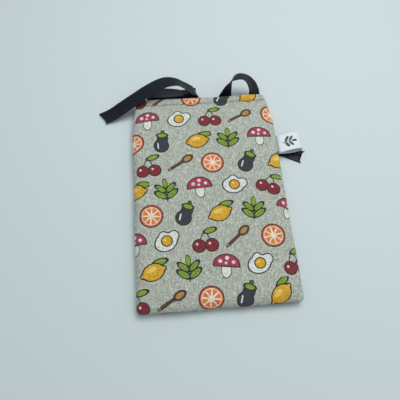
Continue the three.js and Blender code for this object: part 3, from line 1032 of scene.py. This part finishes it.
def stitch_nodes():
    """Lays one short thread along each stitch of a line."""
    tree = bpy.data.node_groups.new("stitches", "GeometryNodeTree")
    for name, kind in (("Line", "NodeSocketGeometry"), ("Pitch", "NodeSocketFloat"),
                       ("Size", "NodeSocketVector"), ("Thread", "NodeSocketMaterial")):
        tree.interface.new_socket(name, in_out="INPUT", socket_type=kind)
    tree.interface.new_socket("Stitches", in_out="OUTPUT", socket_type="NodeSocketGeometry")
    nodes = Nodes(tree)
    given = nodes.add("NodeGroupInput").outputs
    curve = nodes.add("GeometryNodeMeshToCurve")
    spread = nodes.add("GeometryNodeResampleCurve", mode="LENGTH")
    bead = nodes.add("GeometryNodeMeshUVSphere")
    place = nodes.add("GeometryNodeInstanceOnPoints")
    turn = nodes.add("FunctionNodeAlignEulerToVector", axis="X")
    real = nodes.add("GeometryNodeRealizeInstances")
    paint = nodes.add("GeometryNodeSetMaterial")
    nodes.feed(curve.inputs["Mesh"], given["Line"])
    nodes.feed(spread.inputs["Curve"], curve.outputs["Curve"])
    nodes.feed(spread.inputs["Length"], given["Pitch"])
    bead.inputs["Segments"].default_value = 10
    bead.inputs["Rings"].default_value = 8
    bead.inputs["Radius"].default_value = 0.5
    nodes.feed(turn.inputs["Vector"], nodes.add("GeometryNodeInputTangent").outputs[0])
    nodes.feed(place.inputs["Points"], spread.outputs["Curve"])
    nodes.feed(place.inputs["Instance"], bead.outputs["Mesh"])
    nodes.feed(place.inputs["Rotation"], turn.outputs[0])
    nodes.feed(place.inputs["Scale"], given["Size"])
    nodes.feed(real.inputs[0], place.outputs[0])
    nodes.feed(paint.inputs["Geometry"], real.outputs[0])
    nodes.feed(paint.inputs["Material"], given["Thread"])
    nodes.feed(nodes.add("NodeGroupOutput").inputs["Stitches"], paint.outputs[0])
    return tree


def stitches(name, points, thread_material, tree):
    """A row of stitches along a line of points."""
    made = mesh_object(name, points, [], edges=[(i, i + 1) for i in range(len(points) - 1)])
    modifier = made.modifiers.new("stitches", "NODES")
    modifier.node_group = tree
    named = {s.name: s.identifier for s in tree.interface.items_tree if s.in_out == "INPUT"}
    modifier[named["Pitch"]] = STITCH_PITCH
    modifier[named["Size"]] = STITCH_SIZE
    modifier[named["Thread"]] = thread_material
    settle(made)
    made.data.polygons.foreach_set("use_smooth", [True] * len(made.data.polygons))
    return made


# The stage

def set_camera():
    camera = bpy.data.objects.new("camera", bpy.data.cameras.new("camera"))
    bpy.context.scene.collection.objects.link(camera)
    turned = Matrix((CAMERA_RIGHT, CAMERA_UP, CAMERA_BACK)).transposed().to_4x4()
    camera.matrix_world = Matrix.Translation(CAMERA_AT) @ turned
    camera.data.lens = LENS
    camera.data.sensor_width = FILM
    camera.data.clip_start = 0.01
    bpy.context.scene.camera = camera


def area_light(name, position, size, power):
    """A round soft light that points at the sleeve."""
    lamp = bpy.data.lights.new(name, "AREA")
    lamp.shape = "DISK"
    lamp.size = size
    lamp.energy = power
    made = bpy.data.objects.new(name, lamp)
    bpy.context.scene.collection.objects.link(made)
    made.location = position
    made.rotation_mode = "QUATERNION"
    made.rotation_quaternion = (-Vector(position)).to_track_quat("-Z", "Y")


def set_stage():
    half = 3.0
    floor = mesh_object("floor", [(-half, -half, 0), (half, -half, 0), (half, half, 0), (-half, half, 0)],
                        [(0, 1, 2, 3)])
    paint = bpy.data.materials.new("floor")
    paint.use_nodes = True
    shader = paint.node_tree.nodes["Principled BSDF"]
    shader.inputs["Base Color"].default_value = FLOOR
    shader.inputs["Roughness"].default_value = 0.8
    floor.data.materials.append(paint)
    world = bpy.data.worlds.new("sky")
    world.use_nodes = True
    sky = world.node_tree.nodes["Background"].inputs
    sky["Color"].default_value = SKY
    sky["Strength"].default_value = 0.46
    bpy.context.scene.world = world
    area_light("window", position=(0.19, 0.28, 0.90), size=0.7, power=6.1)
    area_light("fill", position=(0.9, -0.3, 0.9), size=0.9, power=0.9)


# Putting it together

def put_on(piece, paint, slot, *replaced, body=None):
    """Gives a piece its material, and says what it replaces and which body it rides. slot is not used."""
    piece.data.materials.clear()
    piece.data.materials.append(paint)
    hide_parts(*replaced)
    if body:
        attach(piece, body)


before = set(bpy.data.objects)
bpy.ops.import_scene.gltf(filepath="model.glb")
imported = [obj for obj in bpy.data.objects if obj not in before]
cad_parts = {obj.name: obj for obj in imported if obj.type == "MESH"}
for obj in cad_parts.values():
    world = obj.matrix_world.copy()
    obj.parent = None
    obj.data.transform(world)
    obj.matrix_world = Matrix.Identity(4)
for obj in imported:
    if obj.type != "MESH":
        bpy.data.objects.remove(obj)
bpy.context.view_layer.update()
bpy.context.scene.view_settings.view_transform = "Standard"

set_camera()
set_stage()

weave = weave_group()
cotton = printed_cotton(weave)
dark = dyed_cotton("dark_lining", colour(43, 46, 53), weave)
black = black_satin()
stuffing = wadding()
# The thread's darkness is partly its own colour and partly painted shade of the stitch groove
groove_shaded_thread = thread()

front_tie = ribbon("front_tie", FRONT_TIE, lambda c: c * BIAS_CUT / 2)
put_on(front_tie, black, "ribbon", "tie_front", body="front")
back_tie = ribbon("back_tie", BACK_TIE, lambda c: (abs(c) - 1) * TAIL_NOTCH)
put_on(back_tie, black, "ribbon", "tie_back", body="back")

outer = bag("printed_outer", True, OUTER_STEP)
thicken(outer, OUTER_CLOTH)
put_on(outer, cotton, "printed_cotton", "outer_front", "outer_back")
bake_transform(outer)

lining = bag("lining_bag", False, LINING_STEP)
thicken(lining, LINING_CLOTH)
put_on(lining, dark, "lining", "lining_front", "lining_back")
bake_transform(lining)

panels = ((True, "front"), (False, "back"))
for is_front, end in panels:
    pad = wadding_panel(f"wadding_{end}", is_front)
    put_on(pad, stuffing, "batting", f"batting_{end}", body=end)

tab, tape_length = label("label")
put_on(tab, label_satin(TWIG_ALONG * tape_length), "label_tape", "label_tab", body="label")

rows_of_stitches = stitch_nodes()
stations = spaced(-STITCH_REACH, STITCH_REACH, STITCH_LINE_STEP)
for is_front, end in panels:
    line = [wrap(across, STITCH_Y, -STITCH_RISE, is_front) for across in stations]
    sewn = stitches(f"stitches_{end}", line, groove_shaded_thread, rows_of_stitches)
    put_on(sewn, groove_shaded_thread, "thread", f"topstitch_{end}", body=end)
